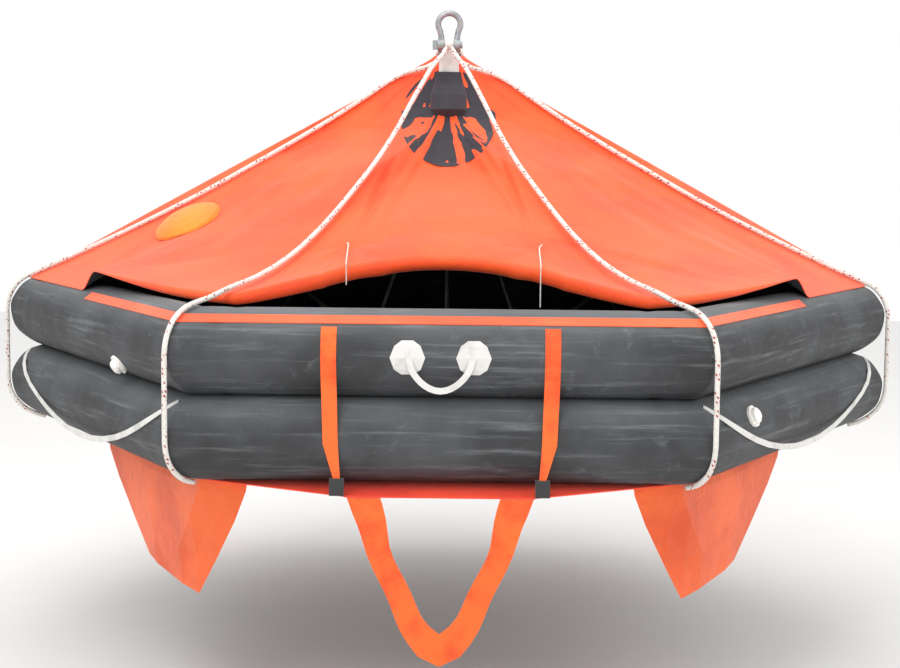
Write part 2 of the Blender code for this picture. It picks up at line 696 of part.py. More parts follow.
def build_entrance():
    """Rolled flap under the front panel's hem, its ties, and the band on the tube."""
    shares = np.linspace(0.1, 0.9, 9)
    radii = FLAP_END_R + (FLAP_R - FLAP_END_R) * np.sin(math.pi * (shares - 0.1) / 0.8)
    hem = [canopy_point(4, u, 1) - np.array([0, 0.002, r + 0.0016])
           for u, r in zip(shares, radii)]
    flap = tube_along("flap", raised(hem), FLAP_R, 2, swell=radii / FLAP_R)
    finish(flap, "entrance_flap", "canopy_orange")

    low, high = tube_angles()[8], tube_angles()[9]
    stations = [(3, 0.46), (3, 1.0), (4, 1.0), (5, 0.54)]
    grid = []
    for side, share in stations:
        row = []
        for angle in (low, high):
            reach, z = section(angle, TUBE_R + GAP)
            row.append(on_side(side, share, reach, z))
        grid.append(row)
    band = thicken(grid_object("band", np.array(grid), flip=True), 0.003, 1.0)
    finish(band, "entrance_band", "canopy_orange")

    for sign, name, drop, lift in ((-1, "left", 0.055, 0.0012), (1, "right", 0.125, 0.0003)):
        eye = EYELET_PLACE if sign > 0 else (1 - EYELET_PLACE[0], EYELET_PLACE[1])
        out = canopy_point(4, *eye) + fabric_normal(4, *eye) * (FABRIC_T + TIE_R + lift)
        hem_share = TIE_HEM_SHARE if sign > 0 else 1 - TIE_HEM_SHARE
        between = ((eye[0] + hem_share) / 2, (eye[1] + 1) / 2)
        over = canopy_point(4, *between) + fabric_normal(4, *between) * (FABRIC_T + 0.010 + 10 * lift)
        edge = canopy_point(4, hem_share, 1)
        front = edge + np.array([0, -(FLAP_R + TIE_R + 0.007), -FLAP_R - 0.004])
        above = edge + np.array([0, -0.029, 0.008])
        hang = [front - np.array([0, -0.002, drop * s]) for s in (0.4, 0.7, 1.0)]
        route = smooth_path(raised([out, over, above, front] + hang), 26)
        tie = tube_along("tie", route, TIE_R, 2)
        finish(tie, "flap_tie_" + name, "rope_white")


def build_boarding_gear():
    """Two straps down the front, the ramp with its piping, its buckles and the loop."""
    for sign, name in ((-1, "left"), (1, "right")):
        route = []
        for angle in facet_angles(-30, 40)[::-1]:
            reach, z = tube_point(angle, GAP + WEB_T / 2)
            route.append((sign * BOARDING_STRAP_X, -reach, z))
        equator = -(APOTHEM + TUBE_R + GAP + WEB_T / 2 + 0.0008)
        route += [(sign * (BOARDING_STRAP_X - 0.008), equator, -0.15),
                  (sign * BUCKLE_X, equator - 0.001, -0.2705)]
        halves = [0.027] * (len(route) - 2) + [0.026, 0.012]
        strap = ribbon("strap", raised(route), (1, 0, 0), halves, WEB_T)
        finish(strap, "boarding_strap_" + name, "strap_orange")
        buckle = box("buckle", (sign * BUCKLE_X - 0.0250, RAMP_EDGE_Y - 0.022, raise_z(-0.330)),
                     (sign * BUCKLE_X + 0.0250, RAMP_EDGE_Y + 0.006, raise_z(-0.2708)))
        finish(buckle, "ramp_buckle_" + name, "patch_black")

    seat_z = -(TUBE_OFFSET + TUBE_R) - GAP - FABRIC_T / 2
    rows = []
    for share in np.linspace(-1, 1, 9):
        rows.append([(share * 0.84, -APOTHEM - 0.004, seat_z),
                     (share * RAMP_EDGE_HALF_W, RAMP_EDGE_Y, RAMP_EDGE_Z)])
    ramp = thicken(grid_object("ramp", raised(rows)), FABRIC_T, 0.0)
    half = RAMP_EDGE_HALF_W
    piping = tube_along("piping", raised([(-half, RAMP_EDGE_Y, RAMP_EDGE_Z),
                                          (half, RAMP_EDGE_Y, RAMP_EDGE_Z)]), PIPING_R, 2)
    ramp = combine(ramp, [piping])
    finish(ramp, "boarding_ramp", "strap_orange")

    top = RAMP_EDGE_Z - PIPING_R - 0.0008
    left_leg = [(-0.262, top, 0.058), (-0.232, -0.43, 0.050), (-0.204, -0.545, 0.041),
                (-0.140, -0.675, 0.042), (-0.085, -0.800, 0.046)]
    middle = [(0.003, -0.876, 0.058)]
    right_leg = [(-x + 0.006, z, w) for x, z, w in left_leg[::-1]]
    outline = left_leg + middle + right_leg
    centre = smooth_path([(x, RAMP_EDGE_Y, z) for x, z, w in outline], 27)
    widths = smooth_path([(w, z, x) for x, z, w in outline], 27)[:, 0]
    along = np.gradient(centre, axis=0)
    along /= np.linalg.norm(along, axis=1)[:, None]
    across = np.cross(along, (0, 1, 0))
    across[0] = (-1, 0, 0)
    across[-1] = (-1, 0, 0)
    if across[1] @ across[0] < 0:
        across[0] = -across[0]
    if across[-2] @ across[-1] < 0:
        across[-1] = -across[-1]
    loop = ribbon("loop", raised(centre), across, widths, 0.006)
    finish(loop, "boarding_loop", "strap_orange", LADDER_AXIS)


def build_handle():
    """Two round pads on the upper tube and the webbing loop between them."""
    pads = []
    for sign in (-1, 1):
        route = []
        halves = []
        for angle in facet_angles(-22, 22):
            reach, z = tube_point(angle, GAP + WEB_T / 2)
            route.append((sign * 0.114, -reach, z))
            halves.append(math.sqrt(max(0.061 ** 2 - (z - 0.149) ** 2, 0.0004)))
        pads.append(ribbon("pad", raised(route), (1, 0, 0), halves, WEB_T))
    y = -(APOTHEM + TUBE_R)
    outline = [(-0.112, y - 0.0035, 0.150), (-0.092, y - 0.010, 0.096), (-0.050, y - 0.016, 0.054),
               (0, y - 0.018, 0.038), (0.050, y - 0.016, 0.054), (0.092, y - 0.010, 0.096),
               (0.112, y - 0.0035, 0.150)]
    centre = smooth_path(outline, 19)
    along = np.gradient(centre, axis=0)
    along /= np.linalg.norm(along, axis=1)[:, None]
    across = np.cross(along, (0, 1, 0))
    loop = ribbon("webbing", raised(centre), across, 0.011, WEB_T)
    finish(combine(loop, pads), "grab_handle", "webbing_white")


def pocket_rings():
    """Rings of the front left pocket, from its rim under the tube's corner to its hem."""
    top_z = -(TUBE_OFFSET + TUBE_R) - GAP
    first = side_normal(3) * APOTHEM + side_along(3) * (-0.07 * SIDE)
    corner = corner_direction(4) * SIDE
    last = side_normal(4) * APOTHEM + side_along(4) * (-0.40 * SIDE)
    inner = np.array([-0.93, -0.98, 0.0])
    top = np.array([first, (first + corner) / 2, corner, (corner + last) / 2, last,
                    (last + inner) / 2, inner, (inner + first) / 2])
    top[:, 2] = top_z
    ends = (np.array([-1.115, -0.98, -0.690]), np.array([-0.880, -1.290, -0.765]))
    run = (ends[1] - ends[0]) / np.linalg.norm(ends[1] - ends[0])
    aside = np.cross(run, (0, 0, -1.0))
    aside *= POCKET_HEM / np.linalg.norm(aside)
    line = np.array([ends[0] + (ends[1] - ends[0]) * s
                     for s in (0, 0.25, 0.5, 0.75, 1, 0.75, 0.5, 0.25)])
    bottom = line - aside * np.array([0, 1, 1, 1, 0, -1, -1, -1])[:, None]
    rings = []
    for share in POCKET_SHARES:
        ring = top * (1 - share) + bottom * share
        out = ring - ring.mean(axis=0)
        out[:, 2] = 0
        out /= np.linalg.norm(out, axis=1)[:, None]
        rings.append(ring + out * POCKET_BULGE * math.sin(math.pi * share ** 0.6))
    return np.array(rings)


def build_ballast_pockets():
    """Open-topped water pockets under the four corners beside the entrance and the back."""
    rings = pocket_rings()
    hem = ((0, 1, 7), (1, 2, 6), (1, 6, 7), (2, 3, 5), (2, 5, 6), (3, 4, 5))
    for back in (False, True):
        for right in (False, True):
            mirror = np.array([-1 if right else 1, -1 if back else 1, 1])
            bm = bmesh.new()
            verts = [[bm.verts.new(point) for point in ring] for ring in raised(rings * mirror)]
            for above, below in zip(verts, verts[1:]):
                for i in range(8):
                    j = (i + 1) % 8
                    bm.faces.new([above[i], above[j], below[j]])
                    bm.faces.new([above[i], below[j], below[i]])
            for face in hem:
                bm.faces.new([verts[-1][i] for i in face])
            bmesh.ops.recalc_face_normals(bm, faces=bm.faces)
            lowest = min(bm.faces, key=lambda face: face.calc_center_median().z)
            if lowest.normal.z > 0:
                bmesh.ops.reverse_faces(bm, faces=bm.faces)
            pocket = thicken(object_from_bmesh(bm, "pocket"), FABRIC_T, -1.0)
            lid = box("lid", (-2, -2, raise_z(rings[0, 0, 2])), (2, 2, raise_z(0)))
            pocket = combine(pocket, [lid], "DIFFERENCE")
            name = ("back_" if back else "front_") + ("right" if right else "left")
            finish(pocket, "ballast_pocket_" + name, "pocket_orange")


def build_valves():
    """A dome valve on each slanted front side."""
    for name, side, share, angle, upper in (("left", 3, 0.70, -37.5, True),
                                            ("right", 5, 0.204, 22.5, False)):
        flat = TUBE_R * math.cos(math.radians(7.51))
        turn = math.radians(angle)
        normal = side_normal(side) * math.cos(turn) + np.array([0, 0, math.sin(turn)])
        pieces = []
        base = flat + GAP
        for depth, radius, far in ((0.010, 0.040, 0.040), (0.016, 0.030, 0.028),
                                   (0.008, 0.028, 0.018)):
            reach, z = section(turn, base + depth / 2 - 0.0001, upper)
            centre = on_side(side, share, reach, z)
            pieces.append(cylinder("valve", centre, normal, radius, depth + 0.0002, 20, far))
            base += depth
        valve = combine(pieces[0], pieces[1:])
        finish(valve, "valve_" + name, "valve_plastic")


def build_port():
    """Gathered lookout sleeve on the left front panel."""
    u, t = PORT_PLACE
    centre = raised(canopy_point(3, u, t))
    bm = bmesh.new()
    bmesh.ops.create_uvsphere(bm, u_segments=20, v_segments=8, radius=1)
    bmesh.ops.scale(bm, vec=(PORT_R, PORT_R, PORT_BULGE), verts=bm.verts)
    normal = Vector(fabric_normal(3, u, t))
    turn = Vector((0, 0, 1)).rotation_difference(normal).to_matrix().to_4x4()
    bm.transform(Matrix.Translation(Vector(centre)) @ turn)
    port = object_from_bmesh(bm, "port")
    push = -0.4 * normal
    port = combine(port, [behind_cutter((3,), push, 0.0006, 0.0)], "DIFFERENCE")
    finish(port, "lookout_port", "band_orange")


def festoon(side, inner):
    """Slack webbing between a side's two corners, lying on the tube where it passes it."""
    spread = np.sin(np.linspace(-math.pi / 2, math.pi / 2, 21))
    route = []
    normals = []
    for s in spread:
        share = 0.5 + 0.488 * s
        slack = 1 - s * s
        clear = TUBE_R + WEB_T / 2 + GAP + 0.0006 + 0.002 * (1 - abs(s) ** 8)
        if inner:
            turn = math.pi
            z = INNER_FESTOON_TOP_Z - INNER_FESTOON_DROP * slack
        else:
            z = FESTOON_TOP_Z - FESTOON_DROP * slack
            turn = math.asin(max(0.0, (z + TUBE_OFFSET) / clear))
        route.append(on_side(side, share, APOTHEM + clear * math.cos(turn), z))
        normals.append(side_normal(side) * math.cos(turn) + np.array([0, 0, math.sin(turn)]))
    along = np.gradient(np.array(route), axis=0)
    across = np.cross(along, normals)
    across /= np.linalg.norm(across, axis=1)[:, None]
    return ribbon("festoon", route, across, FESTOON_HALF_W, WEB_T)


def build_lifelines():
    for side, name in enumerate(SIDE_NAMES):
        if name == "front":
            continue
        finish(festoon(side, False), "lifeline_" + name, "webbing_white")
        finish(festoon(side, True), "inner_lifeline_" + name, "webbing_grey")


def build_floor_lines():
    """Six lines from the hub under the lifting strap to the floor."""
    hub = cylinder("hub", (0, 0, raise_z(HUB_Z + 0.0148)), (0, 0, 1), 0.030, 0.0297, 20)
    finish(hub, "inner_hub", "webbing_grey")
    for index in range(6):
        angle = math.radians(60 * index + 30)
        out = np.array([math.cos(angle), math.sin(angle), 0])
        start = out * 0.020 + np.array([0, 0, HUB_Z - GAP])
        end = out * FLOOR_LINE_RADIUS + np.array([0, 0, FLOOR_TOP_Z + GAP])
        run = (end - start) / np.linalg.norm(end - start)
        start = start + run * FLOOR_LINE_R * 0.35
        end = end - run * FLOOR_LINE_R * 0.5
        line = tube_along("line", raised([start, end]), FLOOR_LINE_R, 2)
        finish(line, "floor_line_%d" % (index + 1), "webbing_grey")


def build_gas_cylinder():
    """Inflation gas cylinder strapped under the floor at the back, with its valve head."""
    radius = 0.095
    z = FLOOR_BOTTOM_Z - GAP - radius - 0.004
    y = 0.62
    body = cylinder("body", (0, y, raise_z(z)), (1, 0, 0), radius, 0.66, 28)
    pieces = []
    for sign in (-1, 1):
        pieces.append(cylinder("shoulder", (sign * 0.37, y, raise_z(z)), (sign, 0, 0), radius,
                               0.082, 28, 0.035))
        pieces.append(cylinder("cradle", (sign * 0.2, y, raise_z(z)), (1, 0, 0), radius + 0.004,
                               0.05, 28))
    pieces.append(cylinder("head", (0.45, y, raise_z(z)), (1, 0, 0), 0.024, 0.09, 16))
    finish(combine(body, pieces), "gas_cylinder", "cylinder_paint")


def main():
    clear_scene()
    make_collections()
    make_materials()
    build_shackle()
    build_lifting_strap()
    build_canopy()
    build_tubes()
    build_floor()
    build_ropes()
    build_sleeve()
    build_entrance()
    build_boarding_gear()
    build_handle()
    build_ballast_pockets()
    build_valves()
    build_port()
    build_lifelines()
    build_floor_lines()
    build_gas_cylinder()


main()
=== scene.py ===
"""Looks of a davit-launched inflatable life raft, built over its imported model.

Heights in the sizes below are measured from the plane where the two buoyancy tubes touch, as in
the part's source, and world() moves them to the model's frame. The raft is a regular hexagon in
plan: corner i lies at 60 i degrees, side i between corners i and i + 1, and side 4 is the entrance.
"""
import math

import bpy
import numpy as np
from mathutils import Matrix

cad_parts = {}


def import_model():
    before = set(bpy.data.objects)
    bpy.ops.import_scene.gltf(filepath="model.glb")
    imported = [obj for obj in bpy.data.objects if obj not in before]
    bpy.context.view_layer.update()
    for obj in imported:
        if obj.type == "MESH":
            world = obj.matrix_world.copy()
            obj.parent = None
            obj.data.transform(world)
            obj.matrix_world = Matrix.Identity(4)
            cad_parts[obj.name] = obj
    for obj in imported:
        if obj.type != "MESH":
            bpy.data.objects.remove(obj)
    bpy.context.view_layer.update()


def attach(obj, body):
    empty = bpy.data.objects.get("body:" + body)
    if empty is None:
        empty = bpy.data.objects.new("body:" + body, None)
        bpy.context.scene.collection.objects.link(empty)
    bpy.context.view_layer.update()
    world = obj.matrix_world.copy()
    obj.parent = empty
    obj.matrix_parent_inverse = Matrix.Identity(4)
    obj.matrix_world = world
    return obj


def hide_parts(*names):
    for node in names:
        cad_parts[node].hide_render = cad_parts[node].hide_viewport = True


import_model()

bl_info = {
    "name": "Inflatable life raft",
    "version": (1, 0, 0),
    "blender": (4, 5, 0),
    "location": "View3D > Sidebar > Life raft",
    "description": "Cloth, rubber, ropes and studio of a hanging inflatable life raft",
    "category": "Object",
}

# Sizes shared with the part's source, in metres
SIDE = 1.70
APOTHEM = SIDE * math.cos(math.radians(30))
MITRE = 1 / math.cos(math.radians(30))
TUBE_R = 0.155
TUBE_OFFSET = 0.150
TUBE_SEAT = 0.00015
HOOK_SEAT_Z = 1.410
PIN_Z = 1.290
FABRIC_T = 0.004
ROPE_R = 0.0095
CROWN_Z = 1.245
CROWN_R = 0.050
CROWN_SHIFT = 0.085
STRAIGHT_LINE = ((CROWN_Z, CROWN_R), (0.2846, 1.7894))
FRONT_LINE = ((CROWN_Z, CROWN_R), (1.12, 0.080), (1.00, 0.120), (0.93, 0.20), (0.86, 0.35),
              (0.775, 0.56), (0.672, 0.71), (0.568, 0.87), (0.484, 1.02), (0.416, 1.17),
              (0.360, 1.35), (0.335, 1.52))
FRONT_VALLEY = ((CROWN_Z, -0.045), (1.18, -0.022), (1.10, 0.012), (1.00, 0.075),
                (0.90, 0.150), (0.782, 0.270), (0.69, 0.480), (0.60, 0.730),
                (0.50, 0.880), (0.452, 1.000))
CORNERS = ("right", "back_right", "back_left", "left", "front_left", "front_right")
SIDES = ("back_right", "back", "back_left", "front_left", "front", "front_right")

# Camera fitted to the photograph: place in the raft's frame, turns in radians, pixels
CAMERA_PLACE = (0.0934, -7.9002, 0.8977)
CAMERA_PITCH, CAMERA_YAW, CAMERA_ROLL = 0.1055, 0.0099, -0.0096
CAMERA_FOCAL = 1847.28
PICTURE = (900, 668)
SEED = 16


def world(points):
    """Points with heights from the tubes' joint, as world points: z - HOOK_SEAT_Z."""
    moved = np.array(points, float)
    moved[..., 2] -= HOOK_SEAT_Z
    return moved


def unit(vectors):
    """Vectors over their lengths."""
    return vectors / np.maximum(np.linalg.norm(vectors, axis=-1, keepdims=True), 1e-9)


def bump(x, width):
    """exp(-(x / width)^2)"""
    return np.exp(-(x / width) ** 2)


def smoothstep(x, low, high):
    """3 s^2 - 2 s^3 of x's share s between low and high, held to 0..1."""
    s = np.clip((x - low) / (high - low), 0, 1)
    return s * s * (3 - 2 * s)


def direction(degrees):
    """(cos a, sin a, 0)"""
    a = np.radians(degrees)
    return np.stack([np.cos(a), np.sin(a), np.zeros_like(a)], axis=-1)


def side_normal(side):
    return direction(60.0 * side + 30)


def side_along(side):
    return direction(60.0 * side + 120)


def on_side(side, share, reach, z):
    """Normal times reach plus along times (share - 1/2) of the side's length at that reach."""
    share, reach, z = np.broadcast_arrays(*(np.asarray(v, float) for v in (share, reach, z)))
    along = (share - 0.5) * SIDE * reach / APOTHEM
    point = side_normal(side) * reach[..., None] + side_along(side) * along[..., None]
    return world(np.stack([point[..., 0], point[..., 1], z], axis=-1))


def on_tube(side, share, degrees, lift=0.0, upper=True):
    """A point on a tube: reach = apothem + R cos a and height = +-offset + R sin a, lifted."""
    a = np.radians(np.asarray(degrees, float))
    r = TUBE_R + lift
    z = (TUBE_OFFSET if upper else -TUBE_OFFSET) + r * np.sin(a)
    return on_side(side, share, APOTHEM + r * np.cos(a), z)


def picture_axes():
    """Rows are the camera's right, forward and up: Rz(yaw) Rx(-pitch) Ry(roll)."""
    turn = (Matrix.Rotation(CAMERA_YAW, 3, "Z") @ Matrix.Rotation(-CAMERA_PITCH, 3, "X")
            @ Matrix.Rotation(CAMERA_ROLL, 3, "Y"))
    return np.array(turn).T


def picture_place(points):
    """Where world points fall in the photograph's frame: centre + focal * (right, down) / depth."""
    seen = (points - world(CAMERA_PLACE)) @ picture_axes().T
    return np.stack([PICTURE[0] / 2 + CAMERA_FOCAL * seen[..., 0] / seen[..., 1],
                     PICTURE[1] / 2 - CAMERA_FOCAL * seen[..., 2] / seen[..., 1]], axis=-1)


def smooth_path(points, count):
    """A Catmull-Rom curve through the points, read at equal steps of its length."""
    points = np.array(points, float)
    padded = np.vstack([2 * points[0] - points[1], points, 2 * points[-1] - points[-2]])
    t = np.linspace(0, 1, 24, endpoint=False)[None, :, None]
    a, b, c, d = (padded[i:len(padded) - 3 + i, None, :] for i in range(4))
    dense = 0.5 * (2 * b + (c - a) * t + (2 * a - 5 * b + 4 * c - d) * t ** 2
                   + (3 * b - a - 3 * c + d) * t ** 3)
    dense = np.vstack([dense.reshape(-1, points.shape[1]), points[-1:]])
    return equal_steps(dense, count)


def equal_steps(points, count):
    """The same polyline, read at equal steps of its length."""
    run = np.r_[0, np.cumsum(np.linalg.norm(np.diff(points, axis=0), axis=1))]
    wanted = np.linspace(0, run[-1], count)
    return np.stack([np.interp(wanted, run, points[:, k]) for k in range(points.shape[1])], axis=-1)


def sweep(path, reference, section):
    """A profile carried along a path: p + b x + n y, with tangent t, b = reference made square
    to t, and n = t x b. The section is (m, 2), or (path points, m, 2) where it changes."""
    tangent = unit(np.gradient(path, axis=0))
    reference = np.broadcast_to(np.asarray(reference, float), path.shape)
    across = unit(reference - tangent * (reference * tangent).sum(-1, keepdims=True))
    normal = np.cross(tangent, across)
    section = np.broadcast_to(section, (len(path),) + np.shape(section)[-2:])
    return (path[:, None] + across[:, None] * section[..., :1]
            + normal[:, None] * section[..., 1:])


def ring(radius, count, tall=None):
    """Points round an ellipse: (r cos a, h sin a)."""
    a = np.linspace(0, 2 * np.pi, count, endpoint=False)
    return np.stack([radius * np.cos(a), (radius if tall is None else tall) * np.sin(a)], axis=-1)


def flat_ring(half, thickness, count=5):
    """A flat band's outline with rounded edges, from one edge round to the other and back."""
    x = np.linspace(-half, half, count)
    h = np.full(count, thickness / 2)
    h[[0, -1]] *= 0.35
    return np.concatenate([np.stack([x, -h], -1), np.stack([x[::-1], h], -1)])


def surface(name, grid, wrap=False, closed=False, flip=False, origin=(0.0, 0.0)):
    """A smooth mesh through a grid of points. wrap joins the last column to the first, closed
    fills both end rows. Its UV map holds metres: u across the columns, v along the rows."""
    rows, columns = grid.shape[:2]
    index = np.arange(rows * columns).reshape(rows, columns)
    full = np.concatenate([grid, grid[:, :1]], axis=1) if wrap else grid
    index = np.concatenate([index, index[:, :1]], axis=1) if wrap else index
    quads = np.stack([index[:-1, :-1], index[:-1, 1:], index[1:, 1:], index[1:, :-1]],
                     axis=-1).reshape(-1, 4)
    step_u = np.linalg.norm(np.diff(full, axis=1), axis=-1).mean(0)
    step_v = np.linalg.norm(np.diff(full, axis=0), axis=-1).mean(1)
    u = np.r_[0, np.cumsum(step_u)] + origin[0]
    v = np.r_[0, np.cumsum(step_v)] + origin[1]
    place = np.stack(np.meshgrid(u, v), axis=-1)
    corners = np.stack([place[:-1, :-1], place[:-1, 1:], place[1:, 1:], place[1:, :-1]], axis=2)
    points = grid.reshape(-1, 3)
    if closed:
        a, b, c = points[quads[:, 0]], points[quads[:, 1]], points[quads[:, 2]]
        d = points[quads[:, 3]]
        middle = points.mean(0)
        volume = ((np.cross(b - a, c - a) + np.cross(c - a, d - a)) * (a - middle)).sum()
        flip = volume < 0
    faces = (quads[:, ::-1] if flip else quads).tolist()
    maps = (corners.reshape(-1, 4, 2)[:, ::-1] if flip else corners.reshape(-1, 4, 2))
    maps = maps.reshape(-1, 2)
    if closed:
        first, last = list(range(columns)), list(range((rows - 1) * columns, rows * columns))
        faces += [first, last[::-1]] if flip else [first[::-1], last]
        maps = np.vstack([maps, np.zeros((2 * columns, 2))])
    mesh = bpy.data.meshes.new(name)
    mesh.from_pydata(points.tolist(), [], faces)
    layer = mesh.uv_layers.new(name="cloth")
    layer.data.foreach_set("uv", maps.astype(np.float32).ravel())
    mesh.shade_smooth()
    thing = bpy.data.objects.new(name, mesh)
    bpy.context.scene.collection.objects.link(thing)
    return thing


def thicken(thing, thickness, inside=False, offset=1.0):
    """A Solidify wall. inside gives the inner face the piece's second material."""
    wall = thing.modifiers.new("wall", "SOLIDIFY")
    wall.thickness = thickness
    wall.offset = offset
    wall.use_even_offset = True
    if inside:
        wall.material_offset = 1
    return thing


def dress(thing, finish, body="raft", replaces=()):
    """Gives a piece its material, the body it moves with and the nodes that it stands for."""
    thing.data.materials.append(FINISHES[finish])
    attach(thing, body)
    if replaces:
        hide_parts(*replaces)
    return thing


def joined(name, things):
    """One object from several meshes in place, with their UV maps and materials."""
    bpy.ops.object.select_all(action="DESELECT")
    for thing in things:
        thing.select_set(True)
    bpy.context.view_layer.objects.active = things[0]
    bpy.ops.object.join()
    things[0].name = name
    return things[0]


class Value:
    """One node socket. Arithmetic on it adds Math nodes, so 1 - mask * 0.5 works."""

    def __init__(self, finish, socket):
        self.finish, self.socket = finish, socket

    def math(self, operation, *others):
        return self.finish.node("ShaderNodeMath", {"operation": operation}, (self, *others))

    def back(self, operation, other):
        return self.finish.node("ShaderNodeMath", {"operation": operation}, (other, self))

    def __add__(self, other): return self.math("ADD", other)
    def __radd__(self, other): return self.back("ADD", other)
    def __sub__(self, other): return self.math("SUBTRACT", other)
    def __rsub__(self, other): return self.back("SUBTRACT", other)
    def __mul__(self, other): return self.math("MULTIPLY", other)
    def __rmul__(self, other): return self.back("MULTIPLY", other)
    def __truediv__(self, other): return self.math("DIVIDE", other)
    def __rtruediv__(self, other): return self.back("DIVIDE", other)
    def __pow__(self, other): return self.math("POWER", other)
    def __neg__(self): return self.math("MULTIPLY", -1.0)
    def __gt__(self, other): return self.math("GREATER_THAN", other)
    def __lt__(self, other): return self.math("LESS_THAN", other)

    def between(self, low, high):
        """0 below low, 1 above high, smooth between."""
        return self.finish.node("ShaderNodeMapRange", {"interpolation_type": "SMOOTHSTEP"},
                                {"Value": self, "From Min": low, "From Max": high})


class Finish:
    """A material under construction, round one Principled shader."""

    def __init__(self, name, base, roughness, metallic=0.0, sheen=0.0):
        self.material = bpy.data.materials.new(name)
        self.material.use_nodes = True
        self.tree = self.material.node_tree
        self.shader = self.tree.nodes["Principled BSDF"]
        self.put("Base Color", (*base, 1))
        self.put("Roughness", roughness)
        self.put("Metallic", metallic)
        self.put("Sheen Weight", sheen)
        self.material.diffuse_color = (*base, 1)
        FINISHES[name] = self.material

    def put(self, name, value):
        """Sets or links one of the shader's sockets."""
        self.feed(self.shader.inputs[name], value)

    def feed(self, socket, value):
        if isinstance(value, Value):
            self.tree.links.new(value.socket, socket)
        else:
            rgba = socket.type == "RGBA" and hasattr(value, "__len__") and len(value) == 3
            socket.default_value = (*value, 1) if rgba else value

    def node(self, kind, settings=None, inputs=(), output=0):
        """A node of a type, with its settings first and then its sockets' values or links."""
        made = self.tree.nodes.new(kind)
        for key, value in (settings or {}).items():
            if key == "stops":
                ramp = made.color_ramp
                for place, _ in value[2:]:
                    ramp.elements.new(place)
                for element, (place, colour) in zip(ramp.elements, sorted(value)):
                    element.position, element.color = place, (*colour, 1)
            else:
                setattr(made, key, value)
        pairs = inputs.items() if isinstance(inputs, dict) else enumerate(inputs)
        for key, value in pairs:
            self.feed(made.inputs[key], value)
        return Value(self, made.outputs[output])

    def place(self, scale=(1, 1, 1), uv=False, turn=(0, 0, 0)):
        """Object or UV coordinates in metres, scaled along each axis."""
        source = self.node("ShaderNodeTexCoord", output="UV" if uv else "Object")
        return self.node("ShaderNodeMapping", None,
                         {"Vector": source, "Scale": scale, "Rotation": turn})

    def noise(self, place, scale, detail=3.0, rough=0.55, warp=0.0):
        return self.node("ShaderNodeTexNoise", None, {
            "Vector": place, "Scale": scale, "Detail": detail, "Roughness": rough,
            "Distortion": warp})

    def blend(self, share, first, second, mode="MIX"):
        """A colour between two, by a share."""
        return self.node("ShaderNodeMix", {"data_type": "RGBA", "blend_type": mode},
                         {0: share, 6: first, 7: second}, output=2)

    def relief(self, height, distance, strength=1.0, under=None):
        inputs = {"Height": height, "Distance": distance, "Strength": strength}
        if under is not None:
            inputs["Normal"] = under
        made = self.node("ShaderNodeBump", None, inputs)
        self.put("Normal", made)
        return made


FINISHES = {}


def linear(code):
    """An sRGB colour like 'ff5a1e' as linear light."""
    value = np.array([int(code[i:i + 2], 16) for i in (0, 2, 4)]) / 255
    return tuple(np.where(value > 0.04045, ((value + 0.055) / 1.055) ** 2.4, value / 12.92))


def cloth_finish(name, base, shade, roughness=0.62, weave=1100.0, crinkle=0.006, stain=0.25):
    """Coated cloth: two tones, a fine plain weave, crinkles and faint stains."""
    f = Finish(name, base, roughness, sheen=0.15)
    place = f.place()
    broad = f.noise(place, 3.0, 4, 0.6)
    fine = f.noise(place, 26.0, 5, 0.65, warp=0.4)
    dirt = f.noise(place, 7.0, 6, 0.7).between(0.60, 0.78) * stain
    tone = f.blend(broad.between(0.35, 0.68), base, shade)
    tone = f.blend(dirt * fine, tone, (0.10, 0.045, 0.02))
    f.put("Base Color", tone)
    f.put("Roughness", fine * 0.16 + (roughness - 0.08))
    thread = f.place(uv=True, scale=(weave, weave, weave))
    split = f.node("ShaderNodeSeparateXYZ", None, {0: thread})
    across = f.node("ShaderNodeSeparateXYZ", None, {0: thread}, output=1)
    cells = split.math("SINE") * across.math("SINE")
    under = f.relief(fine, crinkle, 0.55)
    f.relief(cells, 0.0003, 0.35, under)
    return f


def webbing_finish(name, base, shade, rib=0.0016, roughness=0.75):
    """Woven strap: ribs across, chevron threads along and grime."""
    f = Finish(name, base, roughness, sheen=0.2)
    place = f.place(uv=True)
    u = f.node("ShaderNodeSeparateXYZ", None, {0: place})
    v = f.node("ShaderNodeSeparateXYZ", None, {0: place}, output=1)
    zigzag = (u * (math.pi / rib)).math("SINE").math("ABSOLUTE")
    threads = (v * (2 * math.pi / rib) + zigzag * 3.0).math("SINE")
    grime = f.noise(f.place(), 9.0, 5, 0.65)
    tone = f.blend(grime.between(0.42, 0.72), base, shade)
    f.put("Base Color", f.blend(threads * 0.10 + 0.10, tone, shade))
    f.relief(threads * 0.5 + zigzag * 0.5, 0.0007, 0.6)
    return f


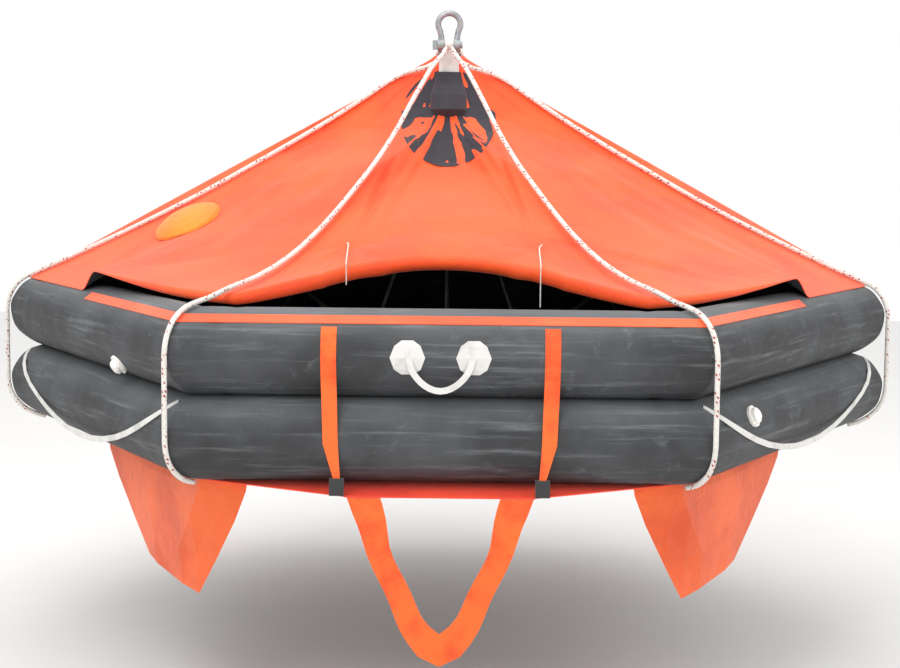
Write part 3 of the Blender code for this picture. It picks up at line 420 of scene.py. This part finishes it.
def rope_finish():
    """Plaited rope: diamond strands from two opposed spirals, with short red flecks."""
    f = Finish("rope", linear("ece8e2"), 0.72, sheen=0.2)
    place = f.place(uv=True)
    u = f.node("ShaderNodeSeparateXYZ", None, {0: place}) * (1 / 0.0149)
    v = f.node("ShaderNodeSeparateXYZ", None, {0: place}, output=1) * (1 / 0.022)
    one = ((u + v) * (2 * math.pi)).math("SINE")
    two = ((u - v) * (2 * math.pi)).math("SINE")
    strands = one.math("MAXIMUM", two)
    cell = f.node("ShaderNodeCombineXYZ", None, {
        0: (u + v * 0.5).math("FLOOR"), 1: (v * 1.4).math("FLOOR"), 2: 0.0})
    pick = f.node("ShaderNodeTexWhiteNoise", {"noise_dimensions": "2D"}, {"Vector": cell})
    along = (v * 1.4).math("FRACT")
    fleck = (pick > 0.72) * (along < 0.55) * (one > 0.05)
    tone = f.blend(f.noise(f.place(), 30.0, 4), linear("f2efe9"), linear("cfc9c0"))
    f.put("Base Color", f.blend(fleck, tone, linear("a8302c")))
    f.relief(strands, 0.0014, 0.8)
    return f


def rubber_finish():
    """Scuffed rubberised cloth: streaks along the tube, chalky rubs, a lighter grey on upward
    faces, blotches.
    """
    f = Finish("tube_rubber", linear("36383b"), 0.6)
    along = f.place(uv=True)
    streak = f.noise(f.place(uv=True, scale=(30, 1.6, 1)), 1.0, 6, 0.7)
    blotch = f.noise(f.place(), 2.6, 5, 0.62)
    rub = f.noise(f.place(), 9.0, 8, 0.72, warp=0.8)
    speck = f.noise(along, 160.0, 3, 0.7)
    normal = f.node("ShaderNodeNewGeometry", output=1)
    up = f.node("ShaderNodeSeparateXYZ", None, {0: normal}, output=2)
    # faces that point upwards are blended towards a lighter grey, by the normal's height
    upward_lightening = up.between(0.25, 1.0) * 0.30
    scuff = streak.between(0.50, 0.74) * 0.55 + rub.between(0.55, 0.80) * 0.55
    tone = f.blend(blotch.between(0.35, 0.7), linear("2c2d2f"), linear("45474a"))
    tone = f.blend(scuff, tone, linear("7d8184"))
    tone = f.blend(upward_lightening, tone, linear("8b9093"))
    f.put("Base Color", f.blend(speck.between(0.70, 0.80) * 0.5, tone, linear("a5a8a9")))
    f.put("Roughness", 0.50 + rub * 0.35)
    under = f.relief(f.noise(f.place(), 11.0, 4, 0.5), 0.004, 0.35)
    f.relief(f.noise(along, 420.0, 2, 0.6), 0.0004, 0.4, under)
    return f


def make_finishes():
    cloth_finish("canopy", linear("ff5a1a"), linear("fb4a12"))
    cloth_finish("canopy_lining", linear("1b2138"), linear("11131f"), roughness=0.8)
    cloth_finish("band_cloth", linear("f28b16"), linear("e87012"), crinkle=0.008)
    cloth_finish("sill_cloth", linear("fb6534"), linear("f2562a"))
    cloth_finish("ramp_cloth", linear("fb431c"), linear("e5300f"), crinkle=0.008)
    cloth_finish("pocket_cloth", linear("f0662a"), linear("d94f17"), crinkle=0.014, stain=0.6)
    cloth_finish("dark_cloth", linear("2d2a33"), linear("23212a"), roughness=0.72, stain=0.1)
    cloth_finish("pad_rubber", linear("2e2f31"), linear("232425"), roughness=0.62, crinkle=0.003)
    webbing_finish("white_webbing", linear("dcdad6"), linear("b4b2ad"))
    webbing_finish("grey_webbing", linear("a3a19d"), linear("7d7b78"))
    webbing_finish("orange_webbing", linear("fb6a24"), linear("dd4714"))
    webbing_finish("black_webbing", linear("26262a"), linear("18181b"))
    webbing_finish("step_webbing", linear("6d6263"), linear("544b4c"))
    rope_finish()
    rubber_finish()

    f = Finish("cord", linear("eeebe6"), 0.8, sheen=0.2)
    place = f.place(uv=True)
    u = f.node("ShaderNodeSeparateXYZ", None, {0: place})
    v = f.node("ShaderNodeSeparateXYZ", None, {0: place}, output=1)
    f.put("Base Color", f.blend(f.noise(f.place(), 40.0), linear("f1eee9"), linear("cdc8c0")))
    f.relief((u * 900.0 + v * 1500.0).math("SINE"), 0.0006, 0.7)

    f = Finish("tape", linear("bfb9ae"), 0.38, metallic=0.35)
    place = f.place(uv=True)
    cells = f.node("ShaderNodeTexVoronoi", {"feature": "DISTANCE_TO_EDGE"},
                   {"Vector": place, "Scale": 60.0})
    folds = f.noise(place, 38.0, 5, 0.7, warp=1.2)
    shade = f.blend(folds.between(0.38, 0.66), linear("d5cfc4"), linear("8d877d"))
    f.put("Base Color", f.blend(cells.between(0.0, 0.08), linear("979086"), shade))
    f.put("Roughness", 0.28 + folds * 0.35)
    f.relief(folds, 0.006, 0.9)

    f = Finish("galvanised", linear("9b9d9e"), 0.42, metallic=0.75)
    spangle = f.node("ShaderNodeTexVoronoi", None, {"Vector": f.place(), "Scale": 150.0}, output=1)
    grit = f.noise(f.place(), 240.0, 4, 0.7)
    tone = f.blend(f.noise(f.place(), 45.0, 4), linear("b1b3b4"), linear("77797a"))
    f.put("Base Color", f.blend(0.12, tone, spangle))
    f.put("Roughness", 0.34 + grit * 0.25)
    f.relief(grit, 0.0006, 0.6)

    f = Finish("valve_white", linear("f0ece6"), 0.38)
    f.put("Base Color", f.blend(f.noise(f.place(), 60.0, 4).between(0.5, 0.8), linear("f4f1ec"),
                                linear("cfc6bb")))
    f = Finish("valve_red", linear("e02438"), 0.4)
    f.put("Base Color", f.blend(f.noise(f.place(), 60.0, 4), linear("e62a3c"), linear("bd1a2c")))
    f = Finish("arrow_paint", linear("b7c8d0"), 0.6)
    f.put("Base Color", f.blend(f.noise(f.place(), 55.0, 6, 0.7).between(0.40, 0.75),
                                linear("bccdd6"), linear("74858e")))
    f = Finish("glue", linear("c9c4bd"), 0.7)
    f.put("Base Color", f.blend(f.noise(f.place(), 90.0, 4), linear("d8d4cd"), linear("8d8883")))
    f = Finish("thread_grey", linear("8f9498"), 0.8)
    f = Finish("cylinder_paint", linear("31513c"), 0.38, metallic=0.1)
    chips = f.noise(f.place(), 34.0, 7, 0.75).between(0.66, 0.72)
    f.put("Base Color", f.blend(chips, linear("31513c"), linear("7d827c")))
    f.put("Roughness", 0.34 + chips * 0.3)
    f = Finish("pale_floor", linear("e9e8e6"), 0.75)
    f.put("Base Color", f.blend(f.noise(f.place(), 2.0, 3), linear("ebeae8"), linear("e6e5e3")))
    FINISHES["canopy"].use_fake_user = True


def smooth_line(line):
    """A fabric line read at 200 heights and rounded by a running mean."""
    z = np.array([p[0] for p in line])[::-1]
    r = np.array([p[1] for p in line])[::-1]
    t = np.linspace(-0.1, 1.1, 241)
    height = CROWN_Z + (z[0] - CROWN_Z) * t
    slope = (r[1] - r[0]) / (z[1] - z[0])
    radius = np.interp(height, z, r) + np.minimum(height - z[0], 0) * slope
    kernel = bump(np.linspace(-1, 1, 17), 0.6)
    padded = np.pad(radius, 8, mode="reflect", reflect_type="odd")
    return t, height, np.convolve(padded, kernel / kernel.sum(), mode="valid")


def read_line(line, t):
    steps, height, radius = smooth_line(line)
    return np.interp(t, steps, height), np.interp(t, steps, radius)


def hem_lift(share):
    """Rise of a slanted front side's free hem: none to 0.42 of the side, full past 0.52."""
    return 0.085 * smoothstep(share, 0.42, 0.52)


def canopy(side, u, t):
    """The canopy's inner face: two corner lines blended by u, with the front's caved-in valley,
    the hems held to the tube by u and t, and a slight sag of the back panels."""
    u, t = np.broadcast_arrays(np.asarray(u, float), np.asarray(t, float))
    lines = [FRONT_LINE if c in (4, 5) else STRAIGHT_LINE for c in (side, (side + 1) % 6)]
    z0, r0 = read_line(lines[0], t)
    z1, r1 = read_line(lines[1], t)
    point = (direction(60.0 * side) * (r0 * (1 - u))[..., None]
             + direction(60.0 * side + 60) * (r1 * u)[..., None])
    z = z0 * (1 - u) + z1 * u
    shift = CROWN_SHIFT * np.clip(1 - t, 0, 1) ** 2.5
    if side == 4:
        valley_z, valley_r = read_line(FRONT_VALLEY, t)
        weight = np.sin(np.pi * np.clip(u, 0, 1)) ** 1.2
        point[..., 1] += weight * (-valley_r - shift - point[..., 1])
        z = z + weight * (valley_z - z)
    elif side in (3, 5):
        share = u if side == 3 else 1 - u
        seat = side_normal(side)
        wanted = np.interp(t, [0, 1], [CROWN_R, STRAIGHT_LINE[1][1]]) / MITRE
        hold = 1 - np.clip((share - 0.50) / 0.50, 0, 1) ** 1.3
        hold = hold * np.clip((t - 0.55) / 0.45, 0, 1) ** 1.5
        point = point + seat * ((wanted - point @ seat) * hold)[..., None]
        straight = CROWN_Z + (STRAIGHT_LINE[1][0] - CROWN_Z) * t
        z = z + (straight - z) * hold + hem_lift(share) * np.clip((t - 0.75) / 0.25, 0, 1) * hold
    else:
        depth = 0.05 * 6.75 * t * (1 - t) ** 2 * np.sin(np.pi * u)
        point = point - side_normal(side) * depth[..., None]
    return world(np.stack([point[..., 0], point[..., 1] + shift, z], axis=-1))


def canopy_normal(side, u, t, step=0.004):
    """Outward normal from central differences in u and t."""
    du = canopy(side, np.asarray(u) + step, t) - canopy(side, np.asarray(u) - step, t)
    dt = canopy(side, u, np.asarray(t) + step) - canopy(side, u, np.asarray(t) - step)
    return unit(np.cross(dt, du))


def on_canopy(side, u, t, lift):
    """A point above the cloth's outer face, folds and all."""
    place = canopy(side, u, t)
    normal = canopy_normal(side, u, t)
    return place + normal * (FABRIC_T + lift + fold_height(side, u, t, place))[..., None]


# Folds as (x, y, x, y, width, depth): ends and width in pixels of the picture, depth in metres
FOLDS = (
    (404, 140, 352, 243, 3.2, -0.009), (398, 132, 346, 240, 4.0, 0.006),
    (416, 156, 360, 240, 4.5, 0.006), (420, 160, 372, 250, 3.0, -0.004),
    (484, 128, 534, 243, 3.2, -0.009), (492, 124, 543, 240, 4.0, 0.006),
    (474, 150, 528, 240, 4.5, 0.006), (466, 158, 515, 248, 3.0, -0.004),
    (497, 196, 538, 244, 2.4, -0.005), (352, 222, 345, 243, 2.2, -0.004),
    (345, 248, 372, 262, 3.0, -0.006), (345, 248, 318, 262, 3.0, -0.006),
    (346, 246, 386, 252, 2.6, -0.005), (346, 244, 306, 250, 2.6, -0.004),
    (540, 248, 512, 262, 3.0, -0.006), (540, 248, 570, 262, 3.0, -0.006),
    (540, 245, 500, 250, 2.6, -0.005), (541, 244, 586, 252, 2.6, -0.004),
    (360, 262, 440, 268, 3.0, -0.005), (440, 264, 528, 262, 3.0, -0.005),
    (300, 132, 392, 126, 2.6, -0.005), (262, 155, 340, 136, 2.6, -0.005),
    (488, 119, 578, 142, 2.6, -0.005), (578, 142, 660, 172, 2.6, -0.004),
    (244, 200, 330, 168, 6.0, 0.005), (215, 250, 330, 196, 7.0, 0.006),
    (150, 262, 240, 232, 6.0, 0.005), (120, 268, 232, 252, 5.0, -0.005),
    (640, 196, 560, 168, 6.0, 0.005), (672, 246, 580, 200, 7.0, 0.006),
    (780, 272, 690, 232, 6.0, 0.005), (770, 284, 660, 262, 5.0, -0.005),
    (618, 262, 740, 284, 4.0, -0.005), (600, 250, 700, 276, 4.0, 0.005),
)


def fold_height(side, u, t, place):
    """Sum of depth exp(-(d / width)^2) over the folds, d the distance from each fold's line in
    the picture, tapered to its ends, with low waves that run down every panel."""
    u, t = np.broadcast_arrays(np.asarray(u, float), np.asarray(t, float))
    edge = np.sin(np.pi * np.clip(u, 0, 1)) ** 0.5
    inner = np.clip(t * 6, 0, 1) * np.clip((1.0 - t) * 8, 0, 1)
    waves = (0.0022 * np.sin(2 * np.pi * (3.1 * u + 0.8 * t + side))
             + 0.0014 * np.sin(2 * np.pi * (6.7 * u - 1.9 * t + 2.3 * side)))
    height = waves * edge * inner
    if side in (3, 4, 5):
        seen = picture_place(place)
        for x0, y0, x1, y1, width, depth in FOLDS:
            run = np.array([x1 - x0, y1 - y0], float)
            length = np.hypot(*run)
            rel = seen - (x0, y0)
            share = (rel @ run) / length ** 2
            bend = 3.0 * np.sin(2.6 * share + 0.1 * x0)
            d = (rel[..., 0] * run[1] - rel[..., 1] * run[0]) / length + bend
            taper = smoothstep(share, -0.10, 0.18) * (1 - smoothstep(share, 0.80, 1.12))
            height = height + depth * bump(d, width) * taper
    return height * smoothstep(t, 0.02, 0.10)


def canopy_grid(side, columns, rows, lift=FABRIC_T):
    """Rows from the crown to the hem, then a curl: c (sin a down + (cos a - 1) out)."""
    u = np.linspace(0, 1, columns)[None, :]
    t = np.linspace(0, 1, rows)[:, None]
    place = canopy(side, u, t)
    normal = canopy_normal(side, u, np.minimum(t, 0.995))
    height = fold_height(side, u, t, place)
    if side == 4:
        belly = bump(t - 0.955, 0.05) * np.clip(np.sin(np.pi * np.clip((u - 0.21) / 0.58, 0, 1)),
                                                0, 1) ** 0.35
        height = height + 0.022 * belly
    body = place + normal * (lift + height)[..., None]
    share = np.broadcast_to(u, (1, columns))[0]
    if side == 4:
        curl = 0.020 + 0.012 * np.sin(np.pi * share) ** 0.5
    elif side in (3, 5):
        free = share if side == 3 else 1 - share
        curl = 0.002 + 0.018 * smoothstep(free, 0.50, 0.95)
    else:
        curl = np.full(columns, 0.002)
    down = unit(body[-1] - body[-2])
    out = normal[-1] - down * (normal[-1] * down).sum(-1, keepdims=True)
    a = np.radians(np.linspace(0, 215, 15))[1:, None, None]
    c = curl[None, :, None]
    rolled = body[-1] + c * (np.sin(a) * down + (np.cos(a) - 1) * unit(out))
    return np.concatenate([body, rolled])


def make_canopy():
    """One continuous sheet round the whole raft, crown to hem, with its rolled entrance edge."""
    columns = {0: 26, 1: 26, 2: 26, 3: 84, 4: 92, 5: 84}
    strips = [canopy_grid(side, columns[side], 118) for side in range(6)]
    for first, second in zip(strips, strips[1:] + strips[:1]):
        second[:, 0] = first[:, -1] = (first[:, -1] + second[:, 0]) / 2
    sheet = surface("canopy", np.concatenate([s[:, :-1] for s in strips], axis=1), wrap=True,
                    flip=True)
    thicken(sheet, 0.0015, inside=True, offset=-1.0)
    dress(sheet, "canopy",
          replaces=["canopy_panel_" + side for side in SIDES] + ["entrance_flap"])
    sheet.data.materials.append(FINISHES["canopy_lining"])
    return sheet


def make_tubes():
    """Each tube is R cos a, R sin a carried round the hexagon, mitred at its corners, with a
    shallow pucker where the corner pieces are glued."""
    press = math.degrees(math.asin((TUBE_OFFSET - TUBE_SEAT) / TUBE_R))
    for upper, name in ((True, "upper_buoyancy_tube"), (False, "lower_buoyancy_tube")):
        low, high = (-press, 180 + press) if upper else (-180 - press, press)
        a = np.linspace(low, high, 56)
        share = np.sin(np.linspace(-np.pi / 2, np.pi / 2, 41)) * 0.5 + 0.5
        strips = []
        for side in range(6):
            end = np.minimum(share, 1 - share)[:-1, None] * SIDE
            lift = -0.0035 * bump(end - 0.13, 0.012) - 0.002 * bump(end, 0.02)
            lift = lift + 0.0012 * np.sin(np.radians(a) * 9 + end * 14) * bump(end, 0.16)
            strips.append(on_tube(side, share[:-1, None], a[None, :], lift, upper))
        grid = np.concatenate(strips)
        tube = surface(name + "_skin", np.concatenate([grid, grid[:1]]), wrap=True)
        merge_rows(tube)
        dress(tube, "tube_rubber", replaces=[name] if False else [])
        if upper:
            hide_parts(name)
        else:
            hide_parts(name)


def merge_rows(thing):
    """Welds doubled rows and turns the faces outwards."""
    import bmesh
    bm = bmesh.new()
    bm.from_mesh(thing.data)
    bmesh.ops.remove_doubles(bm, verts=bm.verts, dist=1e-5)
    bmesh.ops.recalc_face_normals(bm, faces=bm.faces)
    bm.to_mesh(thing.data)
    bm.free()


def rope_route(corner):
    """The rope's way over the canopy, as in the part's source."""
    clear = FABRIC_T + ROPE_R + 0.0036
    if corner in (4, 5):
        sign = -1 if corner == 4 else 1
        drop = ((0.15, 1.184), (0.29, 1.053), (0.42, 0.925), (0.56, 0.808), (0.71, 0.704),
                (0.87, 0.600), (1.02, 0.516), (1.17, 0.448), (1.35, 0.392), (1.52, 0.360),
                (1.62, 0.336))
        out = direction(60.0 * corner)
        start = [(sign * 0.0098, -0.0302, 1.284), (sign * 0.022, -0.052, 1.256)]
        return world(start + [(out[0] * r, out[1] * r, z) for r, z in drop])
    if corner in (1, 2):
        sign = 1 if corner == 1 else -1
        start = world([(sign * 0.0098, 0.0302, 1.284), (sign * 0.034, 0.075, 1.279)])
        t = np.linspace(0.07, 0.93, 9)
        lift = clear / math.cos(math.radians(30)) + 0.012 * (1 - t) ** 3
        return np.vstack([start, canopy(corner, 0.0, t) + lift[:, None] * (0, 0, 1)])
    sign, side = (1, 5) if corner == 0 else (-1, 3)
    start = world([(sign * (0.0425 + ROPE_R), -0.012, 1.222), (sign * 0.085, -0.016, 1.200)])
    t = np.linspace(0.10, 0.93, 9)
    slip = 0.16 * np.sin(np.pi * t) ** 0.8
    u = slip if side == 3 else 1 - slip
    return np.vstack([start, canopy(side, u, t) + canopy_normal(side, u, t) * clear])


def rope_round(corner):
    """Over the upper tube's corner, down past the joint, and under the lower tube."""
    first = 85 if corner in (4, 5) else 57
    points = []
    for upper, low, high in ((True, 0, first), (False, -80, 0)):
        a = np.linspace(high, low, 8)
        r = TUBE_R + ROPE_R + np.interp(a, [20, 45], [0.0016, 0.0060])
        reach = (APOTHEM + r * np.cos(np.radians(a))) * MITRE
        z = (TUBE_OFFSET if upper else -TUBE_OFFSET) + r * np.sin(np.radians(a))
        out = direction(60.0 * corner)
        points.append(world(np.stack([out[0] * reach, out[1] * reach, z], axis=-1)))
    return np.vstack(points)


def make_ropes():
    """Suspension ropes: a round of radius r carried down each route, dressed in the plaited rope
    finish.
    """
    for corner, name in enumerate(CORNERS):
        route = np.vstack([smooth_path(rope_route(corner), 40), rope_round(corner)])
        path = smooth_path(equal_steps(route, 60), 420)
        aside = direction(60.0 * corner + 90)
        radius = ROPE_R * np.where(np.arange(420) < 4, 0.8, 1.0)
        section = ring(1.0, 12)[None] * radius[:, None, None]
        rope = surface("rope_" + name, sweep(path, aside, section), wrap=True, closed=True)
        dress(rope, "rope", replaces=["suspension_rope_" + name])


def set_finishes():
    """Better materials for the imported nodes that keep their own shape."""
    keep = {
        "galvanised": ["shackle_bow", "shackle_pin"],
        "white_webbing": ["lifting_strap", "grab_handle"],
        "dark_cloth": ["collar_patch", "strap_sleeve"],
        "pad_rubber": ["ramp_buckle_left", "ramp_buckle_right"],
        "tube_rubber": ["floor"],
        "sill_cloth": ["entrance_band"],
        "cord": ["flap_tie_left", "flap_tie_right"],
        "orange_webbing": ["boarding_strap_left", "boarding_strap_right", "boarding_loop"],
        "ramp_cloth": ["boarding_ramp"],
        "pocket_cloth": ["ballast_pocket_" + c for c in ("front_left", "front_right",
                                                         "back_left", "back_right")],
        "valve_white": ["valve_left", "valve_right"],
        "band_cloth": ["lookout_port"],
        "grey_webbing": ["inner_hub"] + ["floor_line_%d" % i for i in range(1, 7)]
        + ["inner_lifeline_" + s for s in SIDES if s != "front"],
        "cylinder_paint": ["gas_cylinder"],
    }
    keep["white_webbing"] += ["lifeline_" + s for s in SIDES if s != "front"]
    for finish, nodes in keep.items():
        for node in nodes:
            bpy.data.objects[node].material_slots[0].material = FINISHES[finish]


def make_stage():
    """Pale floor below the hanging raft, soft lights and the fitted camera."""
    y, x = np.meshgrid(np.linspace(-14, 14, 3), np.linspace(-14, 14, 3), indexing="ij")
    floor = surface("floor_sheet", np.stack([x, y, np.full_like(x, -2.62)], axis=-1))
    floor.data.materials.append(FINISHES["pale_floor"])
    scene = bpy.context.scene
    scene.world = scene.world or bpy.data.worlds.new("studio")
    scene.world.use_nodes = True
    scene.world.node_tree.nodes["Background"].inputs["Color"].default_value = (1, 1, 1, 1)
    scene.world.node_tree.nodes["Background"].inputs["Strength"].default_value = 1.0
    scene.view_settings.view_transform = "Standard"
    for name, place, turn, size, power in (
            ("key", (-2.5, -5.0, 4.5), (math.radians(45), 0, math.radians(-26)), 5.0, 260),
            ("fill", (5.5, -4.5, 1.5), (math.radians(75), 0, math.radians(50)), 4.0, 90),
            ("top", (0, 0.5, 5.0), (0, 0, 0), 6.0, 160)):
        lamp = bpy.data.lights.new(name, "AREA")
        lamp.energy, lamp.size = power, size
        thing = bpy.data.objects.new(name, lamp)
        thing.location, thing.rotation_euler = place, turn
        scene.collection.objects.link(thing)
    view = bpy.data.cameras.new("view")
    view.lens = CAMERA_FOCAL / PICTURE[0] * 36
    view.sensor_fit, view.sensor_width = "HORIZONTAL", 36
    camera = bpy.data.objects.new("view", view)
    right, forward, up = picture_axes()
    turn = Matrix((right, up, -forward)).transposed().to_4x4()
    camera.matrix_world = Matrix.Translation(world(CAMERA_PLACE)) @ turn
    scene.collection.objects.link(camera)
    scene.camera = camera


def main():
    make_finishes()
    make_stage()
    set_finishes()
    make_canopy()
    make_tubes()
    make_ropes()


if __name__ == "__main__":
    main()
